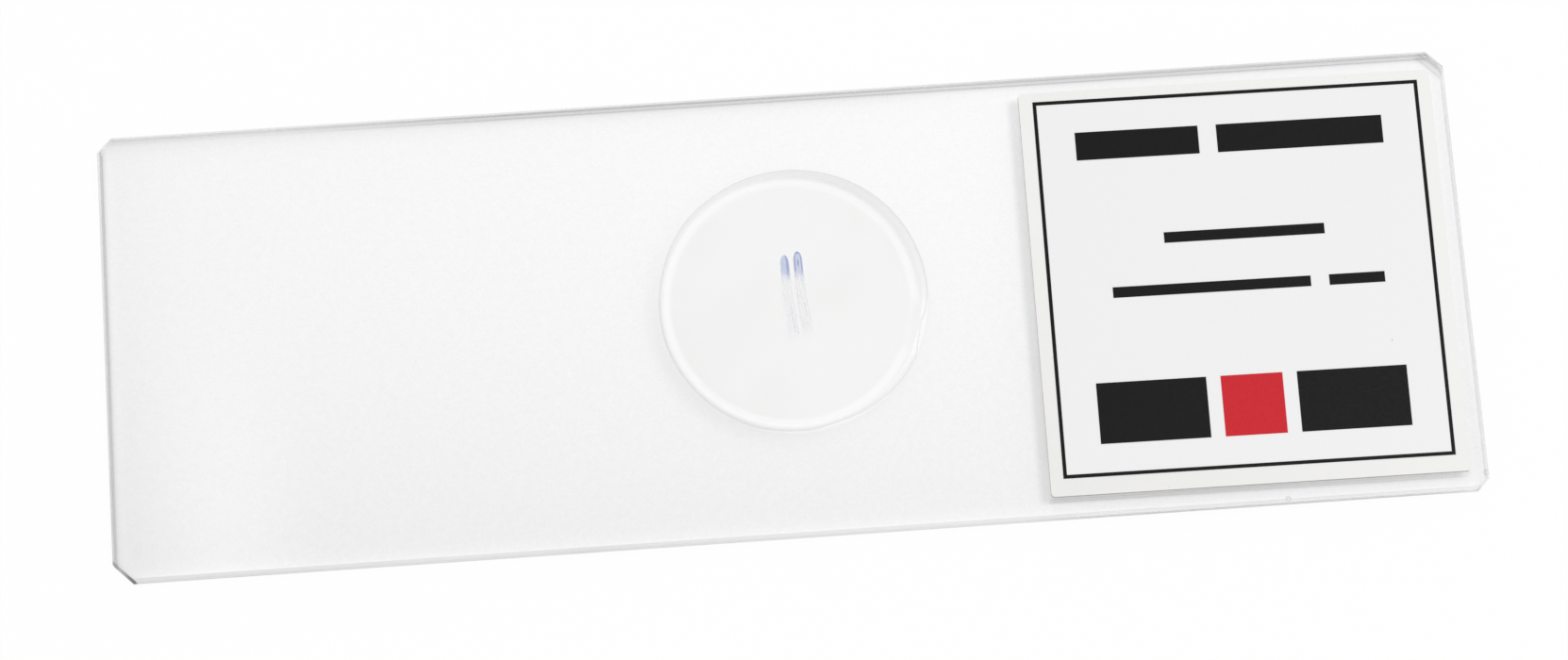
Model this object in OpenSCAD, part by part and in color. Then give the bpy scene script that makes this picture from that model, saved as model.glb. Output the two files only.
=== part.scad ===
// Microscope slide: a permanent mount of two root-tip sections under a round cover glass.
// Millimetres. X runs along the slide towards its label, Y across it, Z up.
// The origin is at the centre of the plate's underside.

/* [Glass plate] */
// Length of the plate, in X
slide_l = 75; // [70:1:80]
// Width of the plate, in Y
slide_w = 25; // [24.5:0.1:28]
// Thickness of the plate
slide_t = 1.1; // [0.8:0.1:1.6]
// Bevel ground along every edge of both faces
edge_bevel = 0.14; // [0.05:0.01:0.3]
// Leg of the clipped corner at the back left
clip_back_left = 0.8; // [0.4:0.05:1.2]
// Leg of the clipped corner at the back right
clip_back_right = 0.9; // [0.4:0.05:1.2]
// Leg of the clipped corner at the front left
clip_front_left = 1; // [0.4:0.05:1.2]
// Leg of the clipped corner at the front right
clip_front_right = 0.55; // [0.4:0.05:1.2]

/* [Cover glass] */
// Diameter of the cover glass
cover_d = 14; // [12:0.5:16]
// Thickness of the cover glass
cover_t = 0.17; // [0.13:0.01:0.22]
// Place of the cover glass's centre along the plate
cover_x = 0.36; // [-1:0.02:1]
// Place of the cover glass's centre across the plate
cover_y = 0.64; // [-1:0.02:1]

/* [Mountant] */
// Thickness of the resin film under the cover glass
film_t = 0.08; // [0.05:0.01:0.12]
// How far the resin bead reaches past the cover glass
bead_reach = 0.35; // [0.25:0.05:0.6]
// How far the bead stays below the cover glass's top face
bead_drop = 0.03; // [0.01:0.01:0.06]
// How far the bead's centre has run from the cover glass's centre
bead_run = 0.08; // [0:0.02:0.14]
// Direction in which the bead has run, counted from +X
bead_run_angle = 228; // [180:4:270]
// Angle that the bead's round back turns through
bead_arc = 100; // [60:5:110]
// Direction of the short stretch where the bead has shrunk back to the cover glass
shrink_angle = -13; // [-40:1:20]
// Width of the bead that is left at that stretch
shrink_rest = 0.06; // [0.02:0.01:0.15]
// Direction of the longer stretch where the bead is only narrower
lean_angle = 128; // [100:2:150]
// Width of the bead at that stretch
lean_rest = 0.1; // [0.08:0.01:0.2]

/* [Tissue sections] */
// Thickness of a section
section_t = 0.015; // [0.01:0.005:0.03]
// Length of a section
section_l = 4.55; // [4:0.05:5]
// Width of a section across its root cap
cap_w = 0.48; // [0.4:0.02:0.56]
// Width of a section at its cut base
base_w = 0.6; // [0.5:0.02:0.64]
// Length of the rounded tip
tip_l = 0.75; // [0.5:0.05:1.2]
// How far the root bends to +X between its tip and its base
bend = 0.27; // [0:0.03:0.45]
// Depth of the frayed notches in the base
fray = 0.22; // [0:0.02:0.3]
// Distance between the middles of the two sections
section_pitch = 0.74; // [0.7:0.02:0.9]
// Height of the right section's tip above the cover glass's centre
tip_rise = 2.74; // [2.2:0.02:3.2]
// How much lower the left section's tip lies
tip_step = 0.16; // [0:0.02:0.4]
// Place of the sections' common middle line from the cover glass's centre, at the tips
sections_x = -0.02; // [-0.5:0.02:0.5]

/* [Label] */
// Length of the label, in X
label_l = 23; // [20:0.1:25]
// Width of the label, in Y
label_w = 22.9; // [20:0.1:24]
// Thickness of the label stock, with its adhesive
label_t = 0.3; // [0.1:0.05:0.4]
// Radius of the label's corners
label_corner_r = 0.2; // [0.05:0.05:0.5]
// Clear glass between the label and the plate's end
label_end_margin = 0.95; // [0.5:0.05:2]
// How far the label sits above the plate's middle line
label_rise = -0.04; // [-0.3:0.02:0.3]
// Angle by which the label is stuck out of square
label_turn = -0.3; // [-0.6:0.1:0.6]

/* [Print] */
// Thickness of the ink
ink_t = 0.02; // [0.01:0.005:0.03]
// Width of the frame's line
frame_line = 0.2; // [0.1:0.02:0.4]
// Paper left free outside the frame, at the label's ends
frame_margin_x = 0.75; // [0.5:0.05:1.5]
// Paper left free outside the frame, at the label's sides
frame_margin_y = 0.75; // [0.5:0.05:1.5]
// How far the print sits above the label's middle
print_rise = 0.2; // [-0.4:0.05:0.4]
// Angle by which the print runs out of square on the label
print_turn = -0.1; // [-0.6:0.1:0.6]
// Paper left free between the frame and the ends of the printed rows
print_margin = 2; // [1:0.25:3]
// Height of the heavy bars in the title row
title_bar_h = 1.6; // [0.5:0.1:2.5]
// Middle of the title row, below the frame's top line
title_drop = 2.5; // [2:0.1:3.5]
// Height of the light bars in the two text rows
text_bar_h = 0.6; // [0.3:0.05:1]
// Middle of the first text row, below the frame's top line
text_drop = 8; // [6.5:0.25:9]
// Distance between the two text rows
text_pitch = 2.95; // [1.5:0.05:3.5]
// Height of the index band
band_h = 3.4; // [2:0.1:4.5]
// Middle of the index band, above the frame's bottom line
band_rise = 3.3; // [2.5:0.1:4]
// Width of the red block in the index band
mark_w = 3.4; // [2:0.1:4.5]
// Bare paper on each side of the red block
mark_gap = 0.8; // [0.3:0.1:1.5]

/* [Hidden] */
$fn = 96;
over = 1;                                     // how far a cutter runs past what it cuts
// each printed bar reaches from one share of its row's length to another
title_bars = [[0, 0.4], [0.46, 1]];
first_text_bars = [[0.26, 0.78]];
second_text_bars = [[0.08, 0.72], [0.78, 0.96]];

cover_r = cover_d / 2;
cover_z = slide_t + film_t;                   // underside of the cover glass
bead_r = cover_r + bead_reach;                // foot of the resin bead
bead_h = film_t + cover_t - bead_drop;        // height of the bead against the cover glass
label_z = slide_t + label_t;                  // printed face of the label
label_x = slide_l / 2 - label_end_margin - label_l / 2;
frame_l = label_l - 2 * frame_margin_x;       // outer size of the printed frame
frame_w = label_w - 2 * frame_margin_y;
row_l = frame_l - 2 * frame_line - 2 * print_margin;
frame_top = frame_w / 2 - frame_line;         // inside of the frame, from the label's middle
band_y = band_rise - frame_top;

// ---- glass plate ----

// Corners of the plate, counter-clockwise from the front left. Each clipped corner gives two points.
function plate_outline() =
    let (x = slide_l / 2, y = slide_w / 2)
    [[-x, clip_front_left - y], [clip_front_left - x, -y],
     [x - clip_front_right, -y], [x, clip_front_right - y],
     [x, y - clip_back_right], [x - clip_back_right, y],
     [clip_back_left - x, y], [-x, y - clip_back_left]];

// Wedge that grinds the bevel along the edge from p to q, on the face at z = 0, below the plate's inside.
module edge_grind(p, q) {
    run = q - p;
    translate([p.x, p.y, 0])
        rotate([0, 0, atan2(run.y, run.x)])
            rotate([90, 0, 90])
                translate([0, 0, -over])
                    linear_extrude(norm(run) + 2 * over)
                        polygon([[-over, edge_bevel + over], [edge_bevel + over, -over], [-over, -over]]);
}

module glass_slide() color([0.9, 0.95, 0.95, 0.35]) {
    outline = plate_outline();
    last = len(outline) - 1;
    difference() {
        linear_extrude(slide_t) polygon(outline);
        for (i = [0 : last]) {
            p = outline[i];
            q = outline[i == last ? 0 : i + 1];
            edge_grind(p, q);
            translate([0, 0, slide_t]) mirror([0, 0, 1]) edge_grind(p, q);
        }
    }
}

// ---- tissue sections ----

section_stations = 24;                        // points along each side of a section
fray_teeth = 5;                               // torn tongues of tissue at the base

// Half the width of a section at the share s of its length: a round tip, then a slow widening.
function half_width(s) =
    let (nose = min(1, s * section_l / tip_l), w = cap_w + (base_w - cap_w) * s)
    w / 2 * sqrt(1 - pow(1 - nose, 2));

// Middle line of a section, from its tip downwards.
function mid_line(s) = [bend * s * s, -section_l * s];

// Torn edge of the base, from the right side to the left.
function torn_edge() =
    [for (k = [1 : 2 * fray_teeth - 1])
        let (bite = k % 2 == 1 ? fray * (1 + sin(137 * k)) / 2 : 0)
        mid_line(1) + [base_w * (0.5 - k / (2 * fray_teeth)), bite]];

module section_shape() {
    // the stations crowd towards the tip, where the outline turns
    share = [for (i = [0 : section_stations]) pow(i / section_stations, 2)];
    polygon(concat(
        [for (s = share) mid_line(s) + [half_width(s), 0]],
        torn_edge(),
        [for (i = [section_stations : -1 : 1]) mid_line(share[i]) - [half_width(share[i]), 0]]));
}

// One section, side -1 at the left or 1 at the right, resting on the plate.
module section(side) {
    drop = side < 0 ? tip_step : 0;
    translate([cover_x + sections_x + side * section_pitch / 2, cover_y + tip_rise - drop, slide_t])
        linear_extrude(section_t) section_shape();
}

module section_left() color([0.62, 0.62, 0.86]) section(-1);
module section_right() color([0.55, 0.55, 0.84]) section(1);

// ---- mountant and cover glass ----

module cover_disc(grow = 0) {
    translate([cover_x, cover_y, cover_z]) cylinder(h = cover_t + grow, d = cover_d);
}

// Middle of the bead's back, a circle through its foot on the plate and its lip on the cover glass.
function bead_centre(foot, lip) =
    let (chord = lip - foot, depth = norm(chord) / 2 / tan(bead_arc / 2))
    (foot + lip) / 2 + depth / norm(chord) * [-chord.y, chord.x];

// Half profile of the resin: the flat film and the bead at its rim.
module bead_profile() {
    foot = [bead_r, 0];
    lip = [cover_r, bead_h];
    centre = bead_centre(foot, lip);
    square([cover_r, film_t]);
    intersection() {
        translate(centre) circle(r = norm(foot - centre));
        square([bead_r + over, bead_h + over]);
    }
}

// Cuts the bead off straight at one side, where it leaves only the width rest.
module shrunk_back(angle, rest) {
    translate([cover_x, cover_y, slide_t])
        rotate([0, 0, angle])
            translate([cover_r + rest, -cover_r, -over])
                cube([cover_r, cover_d, film_t + cover_t + 2 * over]);
}

module mountant() color([0.95, 0.95, 0.86, 0.4]) {
    run = bead_run * [cos(bead_run_angle), sin(bead_run_angle)];
    difference() {
        translate([cover_x + run.x, cover_y + run.y, slide_t]) rotate_extrude() bead_profile();
        cover_disc(over);
        section(-1);
        section(1);
        // the two stretches where the bead has shrunk back towards the cover glass's rim
        shrunk_back(shrink_angle, shrink_rest);
        shrunk_back(lean_angle, lean_rest);
    }
}

module cover_glass() color([0.88, 0.94, 0.96, 0.35]) cover_disc();

// ---- label and its print ----

module rounded_sheet(l, w, t, r) {
    linear_extrude(t) {
        square([l - 2 * r, w], center = true);
        square([l, w - 2 * r], center = true);
        for (x = [-1, 1], y = [-1, 1])
            translate([x * (l / 2 - r), y * (w / 2 - r)]) circle(r = r);
    }
}

// Places its children at the middle of the label, on the plane at height z.
module on_label(z) translate([label_x, label_rise, z]) rotate([0, 0, label_turn]) children();

// Places one ink's shapes on the label's printed face.
module inked()
    on_label(label_z) translate([0, print_rise]) rotate([0, 0, print_turn]) linear_extrude(ink_t) children();

module label() color([0.95, 0.95, 0.93])
    on_label(slide_t) rounded_sheet(label_l, label_w, label_t, label_corner_r);

// One printed row of bars, h high with their middles at y.
module bars(y, h, shares)
    for (s = shares)
        translate([(s[0] - 0.5) * row_l, y - h / 2]) square([(s[1] - s[0]) * row_l, h]);

module label_print() color([0.08, 0.08, 0.08])
    inked() {
        difference() {
            square([frame_l, frame_w], center = true);
            square([frame_l - 2 * frame_line, frame_w - 2 * frame_line], center = true);
        }
        bars(frame_top - title_drop, title_bar_h, title_bars);
        bars(frame_top - text_drop, text_bar_h, first_text_bars);
        bars(frame_top - text_drop - text_pitch, text_bar_h, second_text_bars);
        difference() {
            bars(band_y, band_h, [[0, 1]]);
            translate([0, band_y]) square([mark_w + 2 * mark_gap, band_h + 2 * over], center = true);
        }
    }

module label_mark() color([0.8, 0.14, 0.14])
    inked() translate([0, band_y]) square([mark_w, band_h], center = true);

glass_slide();
section_left();
section_right();
mountant();
cover_glass();
label();
label_print();
label_mark();
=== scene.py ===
import bmesh
import bpy
import math
from mathutils import Euler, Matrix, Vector


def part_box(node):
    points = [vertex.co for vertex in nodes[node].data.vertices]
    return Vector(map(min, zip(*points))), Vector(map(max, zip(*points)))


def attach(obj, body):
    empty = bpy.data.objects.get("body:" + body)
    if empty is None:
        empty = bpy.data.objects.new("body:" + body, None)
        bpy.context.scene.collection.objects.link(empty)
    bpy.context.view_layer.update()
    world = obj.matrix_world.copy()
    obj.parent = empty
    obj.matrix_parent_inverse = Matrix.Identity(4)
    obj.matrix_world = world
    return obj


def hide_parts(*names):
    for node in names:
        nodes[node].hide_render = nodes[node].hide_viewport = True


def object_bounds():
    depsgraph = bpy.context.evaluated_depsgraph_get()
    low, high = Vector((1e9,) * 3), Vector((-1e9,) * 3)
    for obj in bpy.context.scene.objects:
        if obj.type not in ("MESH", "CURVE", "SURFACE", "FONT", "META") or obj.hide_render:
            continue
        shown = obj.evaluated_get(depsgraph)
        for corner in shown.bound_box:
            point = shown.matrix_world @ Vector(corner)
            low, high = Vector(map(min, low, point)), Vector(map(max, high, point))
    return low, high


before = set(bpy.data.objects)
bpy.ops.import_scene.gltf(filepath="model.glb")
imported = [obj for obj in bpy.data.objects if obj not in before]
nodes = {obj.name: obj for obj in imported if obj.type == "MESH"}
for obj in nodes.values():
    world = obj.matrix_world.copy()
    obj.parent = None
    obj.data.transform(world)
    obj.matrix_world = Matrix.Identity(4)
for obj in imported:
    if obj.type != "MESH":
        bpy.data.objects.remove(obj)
cadLow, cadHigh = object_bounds()
mm = 0.001
plateLow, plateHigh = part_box("glass_slide")
coverLow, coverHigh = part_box("cover_glass")
coverMiddle = (coverLow + coverHigh) / 2
coverRadius = (coverHigh.x - coverLow.x) / 2
labelLow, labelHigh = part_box("label")
labelMiddle = (labelLow + labelHigh) / 2
flatFacing = (0.5, 0.9)  # how far up or down a face looks before it counts as flat


class Wire:  # an output socket that sums are written with
    def __init__(self, sheet, socket):
        self.sheet = sheet
        self.socket = socket

    def math(self, operation, *terms):
        return self.sheet.add("ShaderNodeMath", {"operation": operation}, dict(enumerate(terms)))

    def __add__(self, other):
        return self.math("ADD", self, other)

    def __radd__(self, other):
        return self.math("ADD", other, self)

    def __sub__(self, other):
        return self.math("SUBTRACT", self, other)

    def __rsub__(self, other):
        return self.math("SUBTRACT", other, self)

    def __mul__(self, other):
        return self.math("MULTIPLY", self, other)

    def __rmul__(self, other):
        return self.math("MULTIPLY", other, self)

    def __truediv__(self, other):
        return self.math("DIVIDE", self, other)

    def __rtruediv__(self, other):
        return self.math("DIVIDE", other, self)

    def __pow__(self, other):
        return self.math("POWER", self, other)

    def __rpow__(self, other):
        return self.math("POWER", other, self)

    def __neg__(self):
        return self.math("MULTIPLY", self, -1)

    def __abs__(self):
        return self.math("ABSOLUTE", self)

    def max(self, other):
        return self.math("MAXIMUM", self, other)

    def min(self, other):
        return self.math("MINIMUM", self, other)

    def step(self, low, high):  # 0 at low, 1 at high, eased between them
        return self.sheet.add("ShaderNodeMapRange", {"interpolation_type": "SMOOTHSTEP"},
                              {"Value": self, "From Min": low, "From Max": high}, "Result")

    def fall(self, full, gone):  # 1 at full, 0 at gone
        return 1 - self.step(full, gone)

    def near(self, middle, reach):  # 1 at middle, 0 from reach on, on both sides
        return abs(self - middle).fall(0, reach)

    def peak(self, middle, reach):  # 1 at middle, a third at reach and ever less, on both sides
        return math.e ** (-abs(self - middle) / reach)


class Finish:  # the nodes of one material or world, and the one way to add to them
    def __init__(self, holder):
        holder.use_nodes = True
        self.holder = holder
        self.tree = holder.node_tree
        self.tree.nodes.clear()

    def add(self, kind, settings=None, values=None, output=0):
        made = self.tree.nodes.new(kind)
        for name, setting in (settings or {}).items():
            setattr(made, name, setting)
        for name, value in (values or {}).items():
            self.feed(made.inputs[name], value)
        return Wire(self, made.outputs[output]) if made.outputs else None

    def feed(self, socket, value):
        if isinstance(value, Wire):
            self.tree.links.new(value.socket, socket)
        elif socket.type == "RGBA":
            socket.default_value = (*value, 1)
        else:
            socket.default_value = value

    def place(self, middle=(0, 0, 0), turn=0):  # object coordinates about a middle, turned about Z
        spot = self.add("ShaderNodeTexCoord", output="Object")
        return self.add("ShaderNodeMapping", {"vector_type": "TEXTURE"}, {
            "Vector": spot, "Location": middle, "Rotation": (0, 0, math.radians(turn))})

    def split(self, vector):
        return [self.add("ShaderNodeSeparateXYZ", values={0: vector}, output=axis) for axis in "XYZ"]

    def flat(self, middle, turn=0):  # x and y about a middle, turned about Z
        return self.split(self.place((middle.x, middle.y, 0), turn))[:2]

    def join(self, x, y, z):
        return self.add("ShaderNodeCombineXYZ", values={"X": x, "Y": y, "Z": z})

    def facing(self):  # how far the outside of the surface looks up: 1 up, 0 sideways, -1 down
        seen = self.split(self.add("ShaderNodeNewGeometry", output="True Normal"))[2]
        return seen * (1 - 2 * self.add("ShaderNodeNewGeometry", output="Backfacing"))

    def ray(self, name):
        return self.add("ShaderNodeLightPath", output=f"Is {name} Ray")

    def grain(self, size, detail=2, rough=0.5, source=None):  # noise from 0 to 1 with features of that size
        return self.add("ShaderNodeTexNoise", values={
            "Vector": source or self.place(), "Scale": 1 / size, "Detail": detail, "Roughness": rough})

    def specks(self, pitch, core, reach, share):  # scattered dots, one in that share of the cells
        spot = {"Vector": self.place(), "Scale": 1 / pitch, "Randomness": 1}
        distance = self.add("ShaderNodeTexVoronoi", values=spot, output="Distance")
        draw = self.split(self.add("ShaderNodeTexVoronoi", values=spot, output="Color"))[0]
        return (distance * pitch).fall(core, reach) * draw.step(1 - share, 1.01 - share)

    def blend(self, factor, first, second):
        return self.add("ShaderNodeMix", {"data_type": "RGBA"}, {0: factor, 6: first, 7: second}, 2)

    def dim(self, color, share):  # the colour times a number
        return self.blend(share, (0, 0, 0), color)

    def mix(self, factor, first, second):
        return self.add("ShaderNodeMixShader", values={0: factor, 1: first, 2: second})

    def through(self, color=(1, 1, 1)):
        return self.add("ShaderNodeBsdfTransparent", values={"Color": color})

    def bump(self, height, strength, distance):
        return self.add("ShaderNodeBump", values={
            "Height": height, "Strength": strength, "Distance": distance})

    def finish(self, shader):
        kind = "World" if isinstance(self.holder, bpy.types.World) else "Material"
        self.add(f"ShaderNodeOutput{kind}", values={"Surface": shader})
        return self.holder


def newFinish(name):
    return Finish(bpy.data.materials.new(name))


def addMesh(name, shape):
    mesh = bpy.data.meshes.new(name)
    shape.to_mesh(mesh)
    shape.free()
    piece = bpy.data.objects.new(name, mesh)
    bpy.context.scene.collection.objects.link(piece)
    return piece


def paint(piece, material):
    piece.data.materials.clear()
    piece.data.materials.append(material)


# camera

cameraSet = {
    "place": (-8.34 * mm, -57.83 * mm, 236.22 * mm), "turn": (13.683, -0.931, -4.206),  # turn in degrees
    "lens": 101.26, "film": 36, "seenFrom": 0.01, "seenTo": 20,
}


def addCamera():
    data = bpy.data.cameras.new("camera")
    data.lens = cameraSet["lens"]
    data.sensor_width = cameraSet["film"]
    data.clip_start = cameraSet["seenFrom"]
    data.clip_end = cameraSet["seenTo"]
    camera = bpy.data.objects.new("camera", data)
    camera.location = cameraSet["place"]
    camera.rotation_euler = Euler([math.radians(angle) for angle in cameraSet["turn"]])
    bpy.context.scene.collection.objects.link(camera)
    bpy.context.scene.camera = camera


addCamera()

# studio: one soft lamp at the upper right, an even sky and a white floor

studioSet = {
    "lampPlace": (0.35, 0.09, 0.95), "lampSize": 0.26, "lampPower": 4.2, "sky": 0.6,
    "floorTone": 0.98, "floorSize": 3, "floorDrop": 0.02 * mm,
    "mottle": (0.6 * mm, 3), "mottleRange": (0.2, 0.8), "mottleTone": 0.98,
    "floorSeen": 0.92, "floorThrough": 0.56,  # how plain white it is, seen directly and through glass
}


def addLamp():
    data = bpy.data.lights.new("lamp", "AREA")
    data.shape = "DISK"
    data.size = studioSet["lampSize"]
    data.energy = studioSet["lampPower"]
    lamp = bpy.data.objects.new("lamp", data)
    lamp.location = studioSet["lampPlace"]
    lamp.rotation_euler = lamp.location.to_track_quat("Z", "Y").to_euler()
    bpy.context.scene.collection.objects.link(lamp)


def addSky():
    f = Finish(bpy.data.worlds.new("studio"))
    seen = f.ray("Camera").max(f.ray("Glossy")).max(f.ray("Transmission"))
    dim = f.add("ShaderNodeBackground", values={"Color": (1, 1, 1), "Strength": studioSet["sky"]})
    white = f.add("ShaderNodeBackground", values={"Color": (1, 1, 1), "Strength": 1})
    bpy.context.scene.world = f.finish(f.mix(seen, dim, white))


def floorFinish():
    f = newFinish("floor")
    s = studioSet
    mottle = f.grain(*s["mottle"]).step(*s["mottleRange"])
    lit = f.add("ShaderNodeBsdfPrincipled", values={
        "Base Color": f.blend(mottle, (s["floorTone"] * s["mottleTone"],) * 3, (s["floorTone"],) * 3),
        "Roughness": 1, "Specular IOR Level": 0})
    white = f.add("ShaderNodeEmission", values={"Color": (1, 1, 1), "Strength": 1})
    through = f.ray("Transmission")
    seen = (f.ray("Camera") * s["floorSeen"]).max(f.ray("Glossy") * (1 - through))
    return f.finish(f.mix(seen.max(through * s["floorThrough"]), lit, white))


def addFloor():
    grid = bmesh.new()
    bmesh.ops.create_grid(grid, x_segments=1, y_segments=1, size=studioSet["floorSize"])
    bmesh.ops.translate(grid, verts=grid.verts, vec=(0, 0, cadLow.z - studioSet["floorDrop"]))
    floor = addMesh("floor", grid)
    paint(floor, floorFinish())


addLamp()
addSky()
addFloor()
bpy.context.scene.view_settings.view_transform = "Standard"
print("studio ready")

# label: white coated stock with a grey cut edge that is partly painted shade, printed in black and red; it
# comes before the plate, whose painted contact shade follows its outline

labelSet = {
    "turn": -0.3, "size": (23 * mm, 22.9 * mm),  # turn in degrees
    "frameReach": (10.65 * mm, 10.6 * mm), "frameRise": 0.2 * mm, "frameSoft": 0.05 * mm,
    "face": (0.87, 0.87, 0.87), "margin": (0.88, 0.875, 0.86), "gloss": 0.3, "rough": 0.5,
    # the cut edge's grey is partly the stock's core colour and partly painted shade on its wall
    "cut": (0.56, 0.54, 0.5), "cutFacing": (0.3, 0.7),
    # each noise is given by its size, detail and roughness, and each bump by its strength and height
    "fibre": (0.16 * mm, 3, 0.6), "fibreTone": 0.03, "fibreRough": 0.1, "fibreBump": (0.15, 0.01 * mm),
    # the margin has painted shade at its front left corner and painted light at the back of its sides, and
    # is worn in blotches
    "marginPaintedShade": 0.035, "sidePaintedLight": 0.04, "sideFade": 0.3 * mm,
    "worn": (1.1 * mm, 5, 0.75), "wornDepth": 0.05,
    # dots of dirt, and fainter ones on the margin: pitch, core, reach and share of the cells, then depth
    "dots": (2.6 * mm, 0.042 * mm, 0.07 * mm, 0.35), "dotDepth": 0.6,
    "flecks": (0.8 * mm, 0.036 * mm, 0.06 * mm, 0.5), "fleckDepth": 0.3, "dirt": (0.5, 0.48, 0.45),
}


def paperFinish():
    f = newFinish("labelPaper")
    s = labelSet
    x, y = f.flat(labelMiddle, s["turn"])
    sideReach, endReach = s["frameReach"]
    outside = (abs(x) - sideReach).max(abs(y - s["frameRise"]) - endReach)
    margin = outside.step(-s["frameSoft"], s["frameSoft"])
    # painted shade towards the front left corner, and painted light at the back of the sides
    corner = ((x + y) / (labelHigh.x - labelLow.x) - 0.5).min(0)
    paintedLightSide = abs(x).step(sideReach, sideReach + s["sideFade"]) * (y / s["size"][1] + 0.5)
    worn = f.grain(*s["worn"]) - 0.5
    level = 1 + s["marginPaintedShade"] * corner + s["sidePaintedLight"] * paintedLightSide + s["wornDepth"] * worn
    fibre = f.grain(*s["fibre"]) - 0.5
    stock = f.blend(margin, s["face"], f.dim(s["margin"], level))
    stock = f.dim(stock, 1 - s["fibreTone"] / 2 + s["fibreTone"] * fibre)
    dirty = (f.specks(*s["dots"]) * s["dotDepth"]).max(f.specks(*s["flecks"]) * margin * s["fleckDepth"])
    cut = abs(f.facing()).fall(*s["cutFacing"])
    return f.finish(f.add("ShaderNodeBsdfPrincipled", values={
        "Base Color": f.blend(cut, f.blend(dirty, stock, s["dirt"]), s["cut"]),
        "Roughness": s["rough"] + s["fibreRough"] * fibre,
        "Normal": f.bump(fibre, *s["fibreBump"]), "Specular IOR Level": s["gloss"]}))


inkSet = {
    "black": (0.0035, 0.0035, 0.004), "red": (0.6, 0.02, 0.03), "rough": 0.45, "gloss": 0.08,
    "mottle": (0.2 * mm, 3, 0.6), "mottleTone": 0.25, "mottleRough": 0.2, "mottleBump": (0.1, 0.005 * mm),
    "pinholes": (1.1 * mm, 0.03 * mm, 0.05 * mm, 0.3), "pinholeDepth": 0.5,
}


def inkFinish(name, color):
    f = newFinish(name)
    s = inkSet
    mottle = f.grain(*s["mottle"]) - 0.5
    ink = f.dim(color, 1 - s["mottleTone"] * mottle)
    return f.finish(f.add("ShaderNodeBsdfPrincipled", values={
        "Base Color": f.blend(f.specks(*s["pinholes"]) * s["pinholeDepth"], ink, labelSet["face"]),
        "Roughness": s["rough"] + s["mottleRough"] * mottle,
        "Normal": f.bump(mottle, *s["mottleBump"]), "Specular IOR Level": s["gloss"]}))


paint(nodes["label"], paperFinish())
paint(nodes["label_print"], inkFinish("blackInk", inkSet["black"]))
paint(nodes["label_mark"], inkFinish("redInk", inkSet["red"]))
print("label ready")

# glass plate: clear faces with a soft grain and painted light and shade, and ground edges along a rim
# darkened further by painted shade

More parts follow.
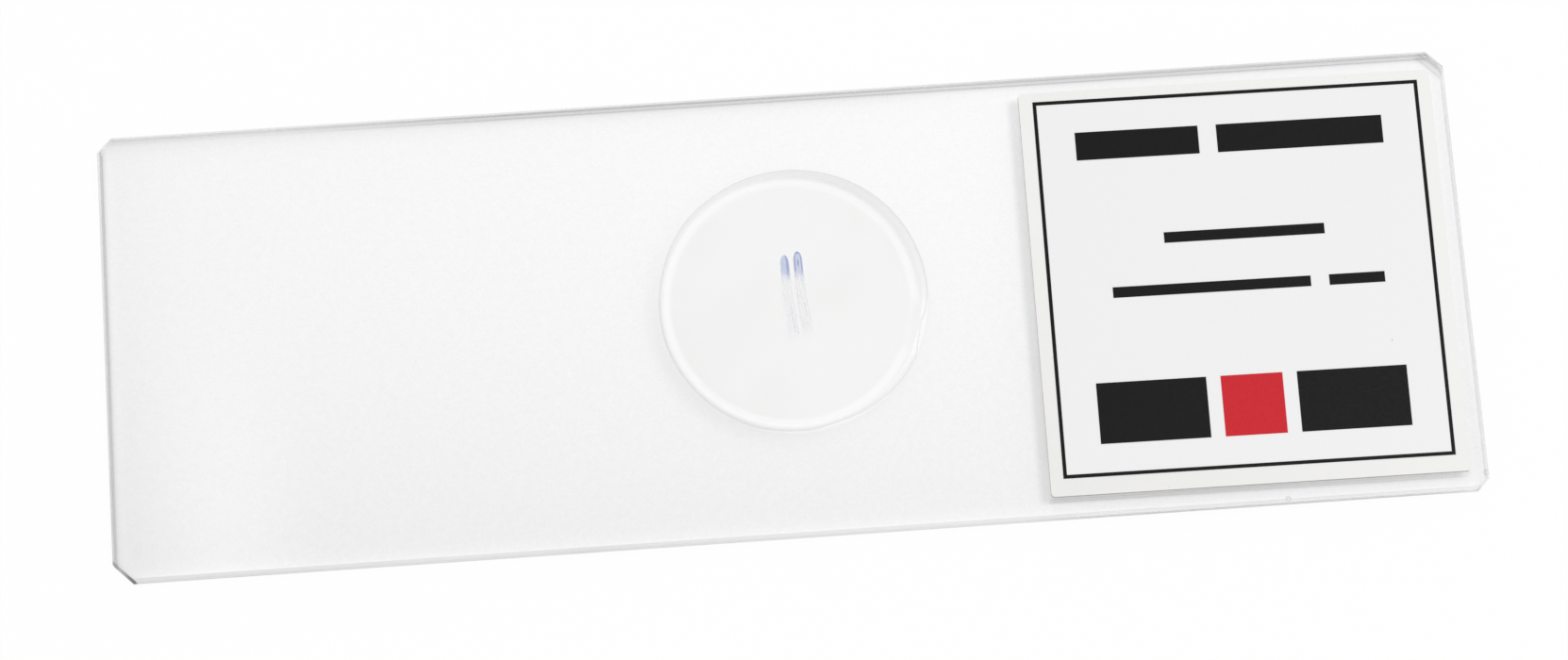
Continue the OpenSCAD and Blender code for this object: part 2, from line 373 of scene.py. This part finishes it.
plateSet = {
    "tint": (0.998, 1, 1), "ior": 1.52, "rough": 0.02,
    # painted light and shade: the tone at the middle, and what is added towards +X and +Y
    "tone": 0.955, "toneRight": 0.031, "toneBack": 0.045, "toneBow": 0.02,
    # painted shade fading in from the left edge
    "toneLeft": 0.055, "toneLeftFade": 2.5 * mm,
    # painted light: a lighter patch towards the front left corner
    "patchTone": 0.05, "patchPlace": -31.5 * mm, "patchReach": 6 * mm, "patchFront": (-12 * mm, 6 * mm),
    # fine grain away from the cover glass, and a coarser mottle all over
    "grain": (0.13 * mm, 3, 0.7), "grainDepth": 0.12, "grainFrom": (7.5 * mm, 7.9 * mm),
    "mottle": (0.4 * mm, 6, 0.8), "mottleDepth": 0.12,
    # painted shade at each side, and painted light where the depth is below zero: depth, distance over
    # which it fades, then its place inside the edge and the tone of the ground glass there, darkened as
    # painted shade, each at the side's end towards -X or -Y and towards +X or +Y
    "rims": {
        "left": (0.64, 0.07 * mm, (0.13 * mm, 0.19 * mm), (0.6, 1)),
        "right": (-0.05, 0.2 * mm, (0.2 * mm, 0.2 * mm), (1, 1)),
        "back": (0.7, 0.09 * mm, (0.22 * mm, 0.24 * mm), (0.86, 0.88)),
        "front": (-0.11, 0.4 * mm, (0.2 * mm, 0.2 * mm), (0.8, 1))},
    "backStart": (-30 * mm, -14 * mm), "backLeast": 0.35,  # the back rim's painted shade is weaker at the left
    # painted shade at each clipped corner: the clip's leg, then depth, fade, one place inside the edge, and
    # both tones of the ground glass
    "clips": {
        (-1, -1): (1 * mm, 0.1, 0.1 * mm, 0.2 * mm, (0.55, 0.2)),
        (1, -1): (0.55 * mm, 0.05, 0.15 * mm, 0.2 * mm, (0.95, 0.95)),
        (-1, 1): (0.8 * mm, 0.08, 0.1 * mm, 0.2 * mm, (0.95, 0.98)),
        (1, 1): (0.9 * mm, 0.45, 0.12 * mm, 0.42 * mm, (0.75, 0.65))},
    "sideReach": 0.2 * mm, "clipReach": 0.1 * mm,  # how far in those tones hold
    # a band of painted light inside the left rim, and a dim one of painted shade inside the back rim up to
    # the label
    "glowPlace": 0.6 * mm, "glowFade": 0.3 * mm, "leftPaintedLight": 0.04,
    "backPaintedShade": 0.06, "backShadeEnd": (5 * mm, 14 * mm),
    # small chips in the upper edge
    "chips": ((26.4 * mm, -12.4 * mm), (37.35 * mm, -11.65 * mm)),
    "chipReach": 0.12 * mm, "chipDepth": 0.35,
    # walls and bevels are ground: milky, and streaked by noise that is drawn out flat and pressed in height
    "groundFacing": (0.75, 0.95), "groundRough": 0.4, "streaks": (0.25 * mm, 4, 0.7),
    "drawn": 3, "pressed": 6, "streakDepth": 0.25, "streakBump": (0.3, 0.02 * mm),
    "milk": (0.98, 0.985, 0.985), "milkShare": 0.9, "milkRough": 0.7, "milkGloss": 0.3, "milkGlow": 0.55,
    # painted shade darkens the front wall towards its lower edge
    "frontReach": (0.05 * mm, 0.2 * mm), "arris": 0.22, "arrisReach": 0.5 * mm,
    # the floor shows through the front wall under the label, the right end, and the far lower bevel
    "openReach": (0.1 * mm, 0.25 * mm), "openFront": 0.7, "openFrontFrom": (12 * mm, 16 * mm),
    "openRight": 0.45, "openBack": 0.9, "openBackFrom": (-6 * mm, 10 * mm), "bevelFacing": (0.3, 0.6),
    # painted contact shade along the label's front edge, with a faint painted shadow in front of it
    "contactDepth": 0.36, "contactLess": 0.5, "contactPlace": 0.1 * mm, "contactFade": 0.065 * mm, "contactEnd": 0.2 * mm,
    "tailDepth": 0.03, "tailPlace": 0.5 * mm, "tailReach": 0.4 * mm,
    # under the resin the plate is clean, without grain or painted shade, and painted shade darkens it at
    # the resin's foot
    "wetReach": (7.3 * mm, 7.4 * mm), "footPlace": 7.4 * mm, "footReach": 0.15 * mm, "footShadeDepth": 0.02,
    # the share of the lamp's light that passes: the plate, its ground edge, and the ring of resin on it,
    # whose shadow starts and ends at these distances from the cover glass's middle
    "shade": (0.99, 0.99, 0.99), "edgeShade": (0.85, 0.85, 0.85), "ringShade": (0.56, 0.56, 0.56),
    "ringStart": (6.95 * mm, 7.1 * mm), "ringEnd": (7.1 * mm, 8.3 * mm),
    "ringAngle": 215, "ringLeast": 0.25,
}


# painted light and shade over the plate's faces, set by place
def paintedPlateShading(x, y):
    s = plateSet
    right, back = x / plateHigh.x, y / plateHigh.y
    tone = s["tone"] + s["toneRight"] * right + s["toneBack"] * back - s["toneBow"] * back * back
    patch = x.near(s["patchPlace"], s["patchReach"]) * y.fall(*s["patchFront"]) * s["patchTone"]
    return tone + patch - s["toneLeft"] * x.peak(plateLow.x, s["toneLeftFade"])


def paintedRimShade(x, y):  # painted shade and light along the rim, and the ground glass's tone darkened by painted shade
    s = plateSet
    half, deep = plateHigh.x, plateHigh.y
    sides = {
        "left": (x + half, y / deep), "right": (half - x, y / deep),
        "front": (y + deep, x / half), "back": (deep - y, x / half)}
    rims = []
    for side, (distance, run) in sides.items():
        depth, fade, (near, far), (first, last) = s["rims"][side]
        share = (run + 1) / 2
        if side == "back":
            depth = depth * (s["backLeast"] + (1 - s["backLeast"]) * x.step(*s["backStart"]))
        place = near + (far - near) * share
        rims.append((distance, depth, place, fade, first + (last - first) * share, s["sideReach"]))
    for (signX, signY), (leg, depth, fade, place, (first, last)) in s["clips"].items():
        share = (x + half if signX < 0 else x - half + leg) / leg
        distance = (half + deep - leg - x * signX - y * signY) * math.sqrt(0.5)
        rims.append((distance, depth, place, fade, first + (last - first) * share, s["clipReach"]))
    # a band of painted light inside the left rim, and one of painted shade inside the back rim
    glow, backShadeBand = [distance.peak(s["glowPlace"], s["glowFade"]) for distance in (x + half, deep - y)]
    shade = (1 + s["leftPaintedLight"] * glow) * (1 - s["backPaintedShade"] * backShadeBand * x.fall(*s["backShadeEnd"]))
    ground = 1
    # each rim and clip darkens the ground glass and the faces as painted shade, and lightens them as
    # painted light where its depth is below zero
    for distance, depth, place, fade, tone, reach in rims:
        ground = ground * (1 - (1 - tone) * distance.fall(reach, 2 * reach))
        shade = shade * (1 - depth * distance.peak(place, fade))
    return shade, ground


def chipped(x, y, z):  # 1 on the rim of each chip
    s = plateSet
    rim = 0
    for placeX, placeY in s["chips"]:
        reach = ((x - placeX) ** 2 + (y - placeY) ** 2 + (z - plateHigh.z) ** 2) ** 0.5
        rim = reach.near(s["chipReach"], s["chipReach"]).max(rim)
    return rim


def labelContactShade(f):
    s = plateSet
    wide, deep = labelSet["size"]
    x, y = f.flat(labelMiddle, labelSet["turn"])
    past = deep / -2 - y
    # painted contact shade just past the label's front edge, weaker towards +X, and a faint painted shadow
    # tail beyond it
    line = past.peak(s["contactPlace"], s["contactFade"]) * (1 - s["contactLess"] * x / wide) * s["contactDepth"]
    tail = past.near(s["tailPlace"], s["tailReach"]) * s["tailDepth"]
    return (line + tail) * abs(x).fall(wide / 2 - s["contactEnd"], wide / 2 + s["contactEnd"])


def roundCover(f):  # distance from the cover glass's middle, and both parts of the way there
    x, y = f.flat(coverMiddle)
    return (x * x + y * y) ** 0.5, x, y


def towards(f, degrees):  # 1 where a point lies that way from the cover glass's middle, -1 on the far side
    reach, x, y = roundCover(f)
    angle = math.radians(degrees)
    return (x * math.cos(angle) + y * math.sin(angle)) / reach


def resinShadow(f):  # strongest on the side away from the lamp
    s = plateSet
    reach = roundCover(f)[0]
    away = towards(f, s["ringAngle"]).max(0) ** 2 * (1 - s["ringLeast"]) + s["ringLeast"]
    return reach.step(*s["ringStart"]) * reach.fall(*s["ringEnd"]) * away


def openGround(x, y, up, front):  # how far the ground glass lets the floor show
    s = plateSet
    right = (plateHigh.x - x).fall(*s["openReach"]) * s["openRight"]
    back = (plateHigh.y - y).fall(*s["openReach"]) * (-up).step(*s["bevelFacing"])
    opened = (front * x.step(*s["openFrontFrom"]) * s["openFront"]).max(right)
    return opened.max(back * x.step(*s["openBackFrom"]) * s["openBack"])


def faceTone(f, x, y):  # the faces' own grain and painted light and shade, what the resin keeps clean of them, and the painted contact shade at the label
    s = plateSet
    reach = roundCover(f)[0]
    grain = (f.grain(*s["grain"]) - 0.5) * reach.step(*s["grainFrom"]) * s["grainDepth"]
    mottle = (f.grain(*s["mottle"]) - 0.5) * s["mottleDepth"]
    # painted shade at the resin's foot
    foot = reach.near(s["footPlace"], s["footReach"]) * s["footShadeDepth"]
    tone = paintedPlateShading(x, y) * (1 + grain + mottle) * (1 - foot) * (1 - labelContactShade(f))
    return tone, reach.fall(*s["wetReach"])


def groundGlass(f, edge, opened):
    s = plateSet
    milk = f.add("ShaderNodeBsdfPrincipled", values={
        "Base Color": f.dim(s["milk"], edge),
        "Roughness": s["milkRough"], "Specular IOR Level": s["milkGloss"]})
    glow = f.add("ShaderNodeBsdfTranslucent", values={"Color": s["milk"]})
    return f.mix(opened, f.mix(edge * s["milkGlow"], milk, glow), f.through())


def lightPassed(f, up, ground):  # the plate as the lamp's light meets it
    s = plateSet
    passed = f.mix(ground, f.through(s["shade"]), f.through(s["edgeShade"]))
    return f.mix(resinShadow(f) * up.step(*flatFacing), passed, f.through(s["ringShade"]))


def plateFinish():
    f = newFinish("plateGlass")
    s = plateSet
    x, y, z = f.split(f.place())
    up = f.facing()
    ground = abs(up).fall(*s["groundFacing"])
    front = ground * (y - plateLow.y).fall(*s["frontReach"])
    lower = (z - plateLow.z).fall(0, s["arrisReach"])
    intact = 1 - chipped(x, y, z) * s["chipDepth"]
    streaks = f.grain(*s["streaks"], f.join(x / s["drawn"], y / s["drawn"], z * s["pressed"]))
    shade, edge = paintedRimShade(x, y)
    # the ground glass's streaks and chips, and painted shade along the front wall's lower edge
    edge = edge * (1 + s["streakDepth"] * (streaks - 0.5)) * (1 - s["arris"] * front * lower) * intact
    tone, wet = faceTone(f, x, y)
    # painted light and shade, grain and chips, all given up under the resin
    tone = tone * shade * intact * (1 - wet) + wet
    glass = f.add("ShaderNodeBsdfPrincipled", values={
        "Base Color": f.dim(s["tint"], tone * (1 - ground) + edge * ground),
        "Roughness": ground * (s["groundRough"] - s["rough"]) + s["rough"],
        "Normal": f.bump(streaks * ground, *s["streakBump"]),
        "IOR": s["ior"], "Transmission Weight": 1})
    frost = groundGlass(f, edge, openGround(x, y, up, front * (1 - lower)))
    body = f.mix(ground * s["milkShare"], glass, frost)
    fromLamp = f.ray("Shadow").max(f.ray("Diffuse"))
    return f.finish(f.mix(fromLamp, body, lightPassed(f, up, ground)))


paint(nodes["glass_slide"], plateFinish())
print("plate ready")

# cover glass and resin: both clear, so a face that touches another piece shows nothing

coverSet = {
    "tint": (0.925, 0.925, 0.92), "rough": 0.02, "ior": 1.5, "wallFacing": (0.3, 0.6),
    "cloud": (4.5 * mm, 1), "cloudRange": (0.3, 0.7), "cloudDepth": 0.25,
    # the tint ends at a ring of painted light, which lies off the middle, and a band of painted shade
    # follows
    "ringMiddle": (-0.23 * mm, -0.19 * mm), "ringStart": (6.42 * mm, 6.78 * mm),
    "band": (6.88 * mm, 7.18 * mm), "bandShade": (0.87, 0.87, 0.865),
    "darkAngle": 60, "darkLess": 0.5,  # the painted shade is full both ways along that line and weaker across it
    # the resin ends and the ring is lost within so many degrees of one direction
    "gapAngle": 343, "gapFrom": 16, "gapTo": 6, "gapShare": 0.8,
}


def ringGap(f):
    s = coverSet
    outer, inner = [math.cos(math.radians(angle)) for angle in (s["gapFrom"], s["gapTo"])]
    return towards(f, s["gapAngle"]).step(outer, inner)


def ringReach(f):  # distance from the middle of the ring
    x, y = f.flat(coverMiddle + Vector((*coverSet["ringMiddle"], 0)))
    return (x * x + y * y) ** 0.5


def paintedShadeBand(f):
    s = coverSet
    full = 1 - (1 - towards(f, s["darkAngle"]) ** 2) * s["darkLess"]
    return ringReach(f).step(*s["band"]) * (1 - ringGap(f)) * full, full


def coverFinish():
    f = newFinish("coverGlass")
    s = coverSet
    up = f.facing()
    wall = abs(up).fall(*s["wallFacing"])
    cloud = f.grain(*s["cloud"]).step(*s["cloudRange"]) * s["cloudDepth"]
    # where the tint stops, a ring of painted light shows
    inner = ringReach(f).fall(*s["ringStart"]).max(ringGap(f) * s["gapShare"]) * (1 - cloud)
    face = f.mix(paintedShadeBand(f)[0], f.mix(inner, f.through(), f.through(s["tint"])), f.through(s["bandShade"]))
    face = f.mix(wall, face, f.through())
    gloss = f.add("ShaderNodeBsdfGlossy", values={"Roughness": s["rough"]})
    mirror = f.add("ShaderNodeFresnel", values={"IOR": s["ior"]}) * (1 - wall)
    return f.finish(f.mix((-up).step(*flatFacing), f.mix(mirror, face, gloss), f.through()))


resinSet = {
    "clearance": 0.0015 * mm, "drop": 0.03 * mm, "arcSteps": 10, "steps": 180, "beadWidth": 0.4 * mm,
    "weld": 0.0002 * mm, "smoothFrom": 0.01,
    # how far the bead reaches past the cover glass: direction in degrees from +X, and millimetres
    "reach": ((-30, 0.4), (-22, 0.18), (-15, 0.07), (-8, 0.27), (0, 0.38), (50, 0.45), (90, 0.42),
              (120, 0.4), (140, 0.47), (165, 0.42), (200, 0.5), (245, 0.5), (270, 0.38), (285, 0.28),
              (300, 0.33), (315, 0.4), (330, 0.4)),
    # painted shade on the bead's foot where it slopes down to the plate
    "footPaintedShade": (0.86, 0.86, 0.855), "footFacing": (0.5, 0.95), "rough": 0.45, "ior": 1.5,
    "ripple": (0.5 * mm, 2), "rippleBump": (0.3, 0.05 * mm),
    "beadFacing": (0.02, 0.1), "mirrorFacing": (0.1, 0.5),
}


def beadReach(angle):
    table = resinSet["reach"]
    angle = (angle - table[0][0]) % 360 + table[0][0]
    for (start, first), (end, last) in zip(table, table[1:]):
        if start <= angle <= end:
            share = (angle - start) / (end - start)
            return (first + (last - first) * share * share * (3 - 2 * share)) * mm
    return table[-1][1] * mm


def resinPiece():
    s = resinSet
    rim = coverRadius + s["clearance"]
    low, high = plateHigh.z + s["clearance"], coverHigh.z - s["drop"]
    angles = [math.radians(90 * step / s["arcSteps"]) for step in range(s["arcSteps"] + 1)]
    wide, tall = s["beadWidth"], high - low
    arc = [(rim + wide * math.cos(angle), low + tall * math.sin(angle)) for angle in angles]
    outline = [(0, low), *arc, (rim, coverLow.z - s["clearance"]), (0, coverLow.z - s["clearance"])]
    shape = bmesh.new()
    verts = [shape.verts.new((reach, 0, height)) for reach, height in outline]
    edges = [shape.edges.new(pair) for pair in zip(verts, verts[1:])]
    bmesh.ops.spin(shape, geom=verts + edges, cent=(0, 0, 0), axis=(0, 0, 1), angle=math.tau,
                   steps=s["steps"], use_merge=True)
    bmesh.ops.remove_doubles(shape, verts=shape.verts, dist=s["weld"])
    for vert in shape.verts:  # the bead is pulled in or out to its reach in each direction
        reach = vert.co.xy.length
        if reach > rim + s["clearance"]:
            angle = math.degrees(math.atan2(vert.co.y, vert.co.x))
            vert.co.xy *= (rim + (reach - rim) * beadReach(angle) / wide) / reach
    bmesh.ops.translate(shape, verts=shape.verts, vec=(coverMiddle.x, coverMiddle.y, 0))
    bmesh.ops.recalc_face_normals(shape, faces=shape.faces[:])
    for face in shape.faces:
        onBead = (face.calc_center_median() - coverMiddle).xy.length > rim
        face.smooth = onBead and face.normal.z > s["smoothFrom"]
    piece = addMesh("resin_bead", shape)
    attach(piece, "root")
    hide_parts("mountant")
    return piece


def resinFinish():
    f = newFinish("resin")
    s = resinSet
    up = f.facing()
    band, full = paintedShadeBand(f)
    bead = roundCover(f)[0].step(coverRadius - s["clearance"], coverRadius) * up.step(*s["beadFacing"])
    # the band of painted shade runs on over the resin
    body = f.mix(band, f.through(), f.through(coverSet["bandShade"]))
    # painted shade on the bead's sloping foot, full along the shade band's line
    body = f.mix(up.fall(*s["footFacing"]) * full, body, f.through(s["footPaintedShade"]))
    gloss = f.add("ShaderNodeBsdfGlossy", values={
        "Roughness": s["rough"], "Normal": f.bump(f.grain(*s["ripple"]), *s["rippleBump"])})
    mirror = f.add("ShaderNodeFresnel", values={"IOR": s["ior"]}) * up.step(*s["mirrorFacing"])
    return f.finish(f.mix(bead, f.through(), f.mix(mirror, body, gloss)))


def letLightPass(piece):  # the plate's finish carries its shadow, and the plate doesn't mirror it
    piece.visible_shadow = False
    piece.visible_diffuse = False
    piece.visible_glossy = False


resinBead = resinPiece()
paint(nodes["cover_glass"], coverFinish())
paint(resinBead, resinFinish())
letLightPass(nodes["cover_glass"])
letLightPass(resinBead)
print("cover glass and resin ready")

# tissue: a thin sheet per root, with a blue cap at its tip and pale cell rows behind it

tissueSet = {
    "rows": 64, "columns": 20, "clearance": 0.003 * mm, "tipStart": 0.0002,
    "tipWidth": 0.48 * mm, "baseWidth": 0.6 * mm, "tipLength": 0.5 * mm, "bend": 0.27 * mm,
    "teeth": 5, "toothSeed": 7, "fray": 0.24 * mm, "frayPower": 6,  # torn tongues at the base
    "pale": (0.88, 0.88, 1), "line": (0.42, 0.38, 0.8), "tuft": (0.55, 0.78, 0.72), "rough": 0.5,
    # share of light that each holds back, and where the sheet thins out towards its sides
    "capAlpha": 0.78, "bodyAlpha": 0.04, "lineAlpha": 0.7, "tuftAlpha": 0.25, "thinFrom": (0.8, 1.1),
    # noise, by how often it repeats across and along the root: streaks, cells, and the waves of the lines
    "streaks": (3.5, 3), "capStreak": 0.8 * mm, "deepStreak": 1.1, "bodyStreak": (0.4, 1.2),
    "cells": (9, 40), "cellRange": (0.3, 0.6), "cellSeed": 3, "waves": (5, 4), "waveDepth": 0.5,
    # the right-hand cap has a deep rim and core, and a green tuft lies behind it: place and reach
    "rimTip": 0.35 * mm, "rimRange": (0.35, 0.8),
    "coreAcross": (0, 0.45), "coreDown": (0.65 * mm, 0.4 * mm),
    "tuftAcross": (0.5, 0.4), "tuftAlong": (0.4, 0.12),
    # each root's own stain, and its lines: place across, width, strength, and where each starts and ends
    "section_left": {
        "seed": 0, "rim": 0, "light": (0.5, 0.6, 0.82), "deep": (0.25, 0.31, 0.63), "deepFrom": (0.1, 0.6),
        "capEnd": (0.84 * mm, 1.79 * mm), "lines": (
            (-0.9, 0.12, 0.3, 0.3, 1.02), (0.15, 0.0975, 0.6, 0.24, 0.7), (0.85, 0.12, 0.8, 0.24, 0.9),
            (0.3, 0.15, 1, 0.55, 1.12), (-0.35, 0.09, 0.6, 0.6, 1), (0.75, 0.105, 0.8, 0.72, 1.15))},
    "section_right": {
        "seed": 9.3, "rim": 1, "light": (0.56, 0.63, 0.84), "deep": (0.24, 0.29, 0.6), "deepFrom": (2, 3),
        "capEnd": (0.98 * mm, 1.93 * mm), "lines": (
            (-0.85, 0.12, 0.8, 0.25, 1.12), (-0.3, 0.0975, 0.5, 0.3, 0.75), (0.2, 0.105, 0.6, 0.4, 1.1),
            (0.9, 0.12, 0.6, 0.28, 1.1), (0.35, 0.15, 1, 0.6, 0.82), (-0.5, 0.105, 0.8, 0.78, 1.15))},
}


def tissueSpot(name, side, share):  # side from -1 to 1 across, share from 0 at the tip to 1 at the base
    s = tissueSet
    low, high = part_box(name)
    length = high.y - low.y
    width = s["tipWidth"] + (s["baseWidth"] - s["tipWidth"]) * share
    nose = min(1, share * length / s["tipLength"])
    half = width / 2 * math.sqrt(1 - (1 - nose) ** 2) - s["clearance"] * nose
    middle = high.x - s["bend"] - s["baseWidth"] / 2 + s["bend"] * share ** 2
    return Vector((middle + side * half, high.y - length * share, high.z - s["clearance"]))


def tornShare(name, side, share):  # the base ends in tongues, so the rows there stop short between two
    s = tissueSet
    low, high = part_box(name)
    phase = (side + 1) / 2 * s["teeth"]
    bite = abs(2 * (phase % 1) - 1) * (1 + math.sin(s["toothSeed"] * math.floor(phase + 0.5))) / 2
    return share * (1 - bite * s["fray"] / (high.y - low.y) * share ** s["frayPower"])


def tissueSheet(name):
    s = tissueSet
    sheet = bmesh.new()
    uv = sheet.loops.layers.uv.new("tissue")
    bmesh.ops.create_grid(sheet, x_segments=s["columns"], y_segments=s["rows"], size=1)
    spots = {vert: (vert.co.x, (1 - vert.co.y) / 2) for vert in sheet.verts}
    for vert, (side, run) in spots.items():  # rows lie closer towards the tip
        share = s["tipStart"] + (1 - s["tipStart"]) * run ** 2
        vert.co = tissueSpot(name, side, tornShare(name, side, share))
    for face in sheet.faces:
        for loop in face.loops:
            side, run = spots[loop.vert]
            loop[uv].uv = ((side + 1) / 2, run ** 2)
    grown = bmesh.ops.extrude_face_region(sheet, geom=sheet.faces[:])["geom"]
    low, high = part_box(name)
    lowered = [part for part in grown if isinstance(part, bmesh.types.BMVert)]
    bmesh.ops.translate(sheet, verts=lowered, vec=(0, 0, low.z - high.z + 2 * s["clearance"]))
    bmesh.ops.recalc_face_normals(sheet, faces=sheet.faces[:])
    piece = addMesh(f"{name}_sheet", sheet)
    letLightPass(piece)
    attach(piece, "root")
    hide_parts(name)
    return piece


def rootNoise(f, repeats, side, share, seed, detail=2, rough=0.6):
    across, along = repeats
    return f.grain(1, detail, rough, f.join(side * across, share * along, seed))


def cellLines(f, own, side, share):
    s = tissueSet
    lines = 0
    for place, width, strength, start, end in own["lines"]:
        wave = (rootNoise(f, s["waves"], place, share, own["seed"], 1, 0.5) - 0.5) * s["waveDepth"]
        run = (share.near((start + end) / 2, (end - start) / 2) * 2).min(1)
        lines = ((side - place + wave).near(0, width) * run * strength).max(lines)
    cells = rootNoise(f, s["cells"], side, share, own["seed"] + s["cellSeed"])
    return lines * cells.step(*s["cellRange"])


def tissueFinish(name):
    f = newFinish(f"stain_{name}")
    s, own = tissueSet, tissueSet[name]
    low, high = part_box(name)
    across, share = f.split(f.add("ShaderNodeUVMap", {"uv_map": "tissue"}))[:2]
    side = across * 2 - 1
    down = share * (high.y - low.y)
    streaks = rootNoise(f, s["streaks"], side, share, own["seed"])
    cap = (down + (streaks - 0.5) * s["capStreak"]).fall(*own["capEnd"])
    rim = abs(side).max(1 - down / s["rimTip"]).step(*s["rimRange"])
    core = side.near(*s["coreAcross"]) * down.near(*s["coreDown"])
    deep = side.step(*own["deepFrom"]).max(rim.max(core) * own["rim"])
    capColor = f.blend((deep + (streaks - 0.5) * s["deepStreak"]).step(0, 1), own["light"], own["deep"])
    lines = cellLines(f, own, side, share)
    tuft = share.near(*s["tuftAlong"]) * side.near(*s["tuftAcross"]) * own["rim"]
    body = f.blend(tuft, f.blend(lines, s["pale"], s["line"]), s["tuft"])
    least, more = s["bodyStreak"]
    bodyAlpha = s["bodyAlpha"] * (streaks * more + least) + lines * s["lineAlpha"] + tuft * s["tuftAlpha"]
    alpha = cap * s["capAlpha"] + (1 - cap) * bodyAlpha
    return f.finish(f.add("ShaderNodeBsdfPrincipled", values={
        "Base Color": f.blend(cap, body, capColor),
        "Alpha": alpha * f.facing().step(-0.5, 0.5) * abs(side).fall(*s["thinFrom"]),
        "Roughness": s["rough"], "Specular IOR Level": 0}))


for name in ("section_left", "section_right"):
    paint(tissueSheet(name), tissueFinish(name))
print("tissue ready")
